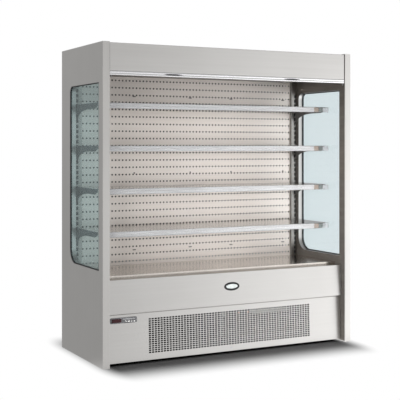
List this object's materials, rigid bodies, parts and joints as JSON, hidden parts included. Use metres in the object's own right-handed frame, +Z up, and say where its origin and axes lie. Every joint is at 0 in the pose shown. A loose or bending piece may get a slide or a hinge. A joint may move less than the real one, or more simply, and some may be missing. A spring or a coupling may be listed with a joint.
{
  "type": "open multideck display fridge",
  "caption": "Open-fronted upright display fridge with perforated back, bracketed shelves, glazed end panels, pull-down night blind and hinged grille panel.",
  "frame": {"origin": "middle of the cabinet's footprint on the floor", "axes": "+X to the right seen from the front, +Y from the open front to the back, +Z up"},
  "size_m": [1.825, 0.735, 1.98],
  "materials": {
    "satin_steel": "satin",
    "bright_steel": "polished",
    "bright_aluminium": "polished",
    "galvanised_steel": "matte",
    "liner_steel": "satin",
    "dark_steel": "satin",
    "fin_aluminium": "satin",
    "black_rubber": "matte",
    "dark_plastic": "matte",
    "white_plastic": "gloss",
    "display_lens": "gloss",
    "window_glass": "gloss",
    "blind_fabric": "matte"
  },
  "bodies": {
    "cabinet": {"left_end_panel": "satin_steel", "right_end_panel": "satin_steel", "left_window_seal": "black_rubber", "right_window_seal": "black_rubber", "left_window_glass": "window_glass", "right_window_glass": "window_glass", "left_upright": "galvanised_steel", "right_upright": "galvanised_steel", "back_panel": "galvanised_steel", "roof_panel": "galvanised_steel", "canopy_fascia": "satin_steel", "canopy_lamp": "white_plastic", "air_outlet_honeycomb": "dark_plastic", "ceiling_panel": "liner_steel", "rear_duct_panel": "liner_steel", "blind_cloth": "blind_fabric", "shelf_1_left_bracket": "dark_steel", "shelf_1_right_bracket": "dark_steel", "shelf_2_left_bracket": "dark_steel", "shelf_2_right_bracket": "dark_steel", "shelf_3_left_bracket": "dark_steel", "shelf_3_right_bracket": "dark_steel", "shelf_4_left_bracket": "dark_steel", "shelf_4_right_bracket": "dark_steel", "evaporator_tub": "liner_steel", "return_air_grille": "bright_steel", "front_apron": "satin_steel", "panel_hinge_rod": "galvanised_steel", "base_frame": "galvanised_steel", "rear_machine_grille": "galvanised_steel", "condenser_coil": "fin_aluminium", "condenser_fan_plate": "galvanised_steel", "evaporator_coil": "fin_aluminium", "evaporator_fan_panel": "galvanised_steel", "compressor": "dark_steel", "electrical_box": "dark_plastic", "condensate_tray": "galvanised_steel"},
    "shelf_1": {"shelf_1": "satin_steel"},
    "shelf_2": {"shelf_2": "satin_steel"},
    "shelf_3": {"shelf_3": "satin_steel"},
    "shelf_4": {"shelf_4": "satin_steel"},
    "display_deck": {"display_deck": "bright_steel"},
    "grille_door": {"grille_panel": "satin_steel", "controller_bezel": "dark_plastic", "controller_display": "display_lens"},
    "key_1": {"controller_key_1": "white_plastic"},
    "key_2": {"controller_key_2": "white_plastic"},
    "key_3": {"controller_key_3": "white_plastic"},
    "key_4": {"controller_key_4": "white_plastic"},
    "blind_bar": {"blind_bar": "bright_aluminium"},
    "blind_roller": {"blind_roller": "blind_fabric"},
    "condenser_fan": {"condenser_fan": "dark_plastic"},
    "evaporator_fan_left": {"evaporator_fan_left": "dark_plastic"},
    "evaporator_fan_right": {"evaporator_fan_right": "dark_plastic"},
    "front_left_fork": {"front_left_castor_fork": "galvanised_steel"},
    "front_right_fork": {"front_right_castor_fork": "galvanised_steel"},
    "front_left_wheel": {"front_left_castor_wheel": "black_rubber"},
    "front_right_wheel": {"front_right_castor_wheel": "black_rubber"},
    "rear_left_wheel": {"rear_left_castor_wheel": "black_rubber"},
    "rear_right_wheel": {"rear_right_castor_wheel": "black_rubber"}
  },
  "joints": [
    {"name": "shelf_1_lift_out", "type": "slide", "parent": "cabinet", "child": "shelf_1", "axis": [0, -1, 0], "range_m": [0, 0.62]},
    {"name": "shelf_2_lift_out", "type": "slide", "parent": "cabinet", "child": "shelf_2", "axis": [0, -1, 0], "range_m": [0, 0.62]},
    {"name": "shelf_3_lift_out", "type": "slide", "parent": "cabinet", "child": "shelf_3", "axis": [0, -1, 0], "range_m": [0, 0.62]},
    {"name": "shelf_4_lift_out", "type": "slide", "parent": "cabinet", "child": "shelf_4", "axis": [0, -1, 0], "range_m": [0, 0.62]},
    {"name": "deck_lift_out", "type": "slide", "parent": "cabinet", "child": "display_deck", "axis": [0, -1, 0], "range_m": [0, 0.66]},
    {"name": "grille_door_hinge", "type": "hinge", "parent": "cabinet", "child": "grille_door", "pos_m": [0, -0.3061, 0.3096], "axis": [-1, 0, 0], "range_deg": [0, 60]},
    {"name": "key_1_press", "type": "slide", "parent": "grille_door", "child": "key_1", "axis": [0, 0.9995, -0.0309], "range_m": [0, 0.0012], "stiffness_N_per_m": 600, "springref_m": -0.001},
    {"name": "key_2_press", "type": "slide", "parent": "grille_door", "child": "key_2", "axis": [0, 0.9995, -0.0309], "range_m": [0, 0.0012], "stiffness_N_per_m": 600, "springref_m": -0.001},
    {"name": "key_3_press", "type": "slide", "parent": "grille_door", "child": "key_3", "axis": [0, 0.9995, -0.0309], "range_m": [0, 0.0012], "stiffness_N_per_m": 600, "springref_m": -0.001},
    {"name": "key_4_press", "type": "slide", "parent": "grille_door", "child": "key_4", "axis": [0, 0.9995, -0.0309], "range_m": [0, 0.0012], "stiffness_N_per_m": 600, "springref_m": -0.001},
    {"name": "blind_pull_down", "type": "slide", "parent": "cabinet", "child": "blind_bar", "axis": [0, 0, -1], "range_m": [0, 1.21], "stiffness_N_per_m": 10, "springref_m": -3, "deforming": ["blind_cloth"]},
    {"name": "blind_roller_turn", "type": "hinge", "parent": "cabinet", "child": "blind_roller", "pos_m": [0, -0.3315, 1.85], "axis": [1, 0, 0], "range_deg": [0, 3160]},
    {"name": "condenser_fan_spin", "type": "hinge", "parent": "cabinet", "child": "condenser_fan", "pos_m": [-0.28, -0.1822, 0.1828], "axis": [0, 1, 0], "continuous": true},
    {"name": "evaporator_fan_left_spin", "type": "hinge", "parent": "cabinet", "child": "evaporator_fan_left", "pos_m": [-0.34, -0.1125, 0.43915], "axis": [0, 1, 0], "continuous": true},
    {"name": "evaporator_fan_right_spin", "type": "hinge", "parent": "cabinet", "child": "evaporator_fan_right", "pos_m": [0.34, -0.1125, 0.43915], "axis": [0, 1, 0], "continuous": true},
    {"name": "front_left_castor_swivel", "type": "hinge", "parent": "cabinet", "child": "front_left_fork", "pos_m": [-0.7715, -0.2325, 0.07], "axis": [0, 0, 1], "continuous": true},
    {"name": "front_right_castor_swivel", "type": "hinge", "parent": "cabinet", "child": "front_right_fork", "pos_m": [0.7715, -0.2325, 0.07], "axis": [0, 0, 1], "continuous": true},
    {"name": "front_left_wheel_roll", "type": "hinge", "parent": "front_left_fork", "child": "front_left_wheel", "pos_m": [-0.7715, -0.2165, 0.025], "axis": [1, 0, 0], "continuous": true},
    {"name": "front_right_wheel_roll", "type": "hinge", "parent": "front_right_fork", "child": "front_right_wheel", "pos_m": [0.7715, -0.2165, 0.025], "axis": [1, 0, 0], "continuous": true},
    {"name": "rear_left_wheel_roll", "type": "hinge", "parent": "cabinet", "child": "rear_left_wheel", "pos_m": [-0.7715, 0.3035, 0.025], "axis": [1, 0, 0], "continuous": true},
    {"name": "rear_right_wheel_roll", "type": "hinge", "parent": "cabinet", "child": "rear_right_wheel", "pos_m": [0.7715, 0.3035, 0.025], "axis": [1, 0, 0], "continuous": true}
  ],
  "couplings": [
    {"joint": "blind_roller_turn", "follows": "blind_pull_down", "rad_per_m": 45.455}
  ]
}
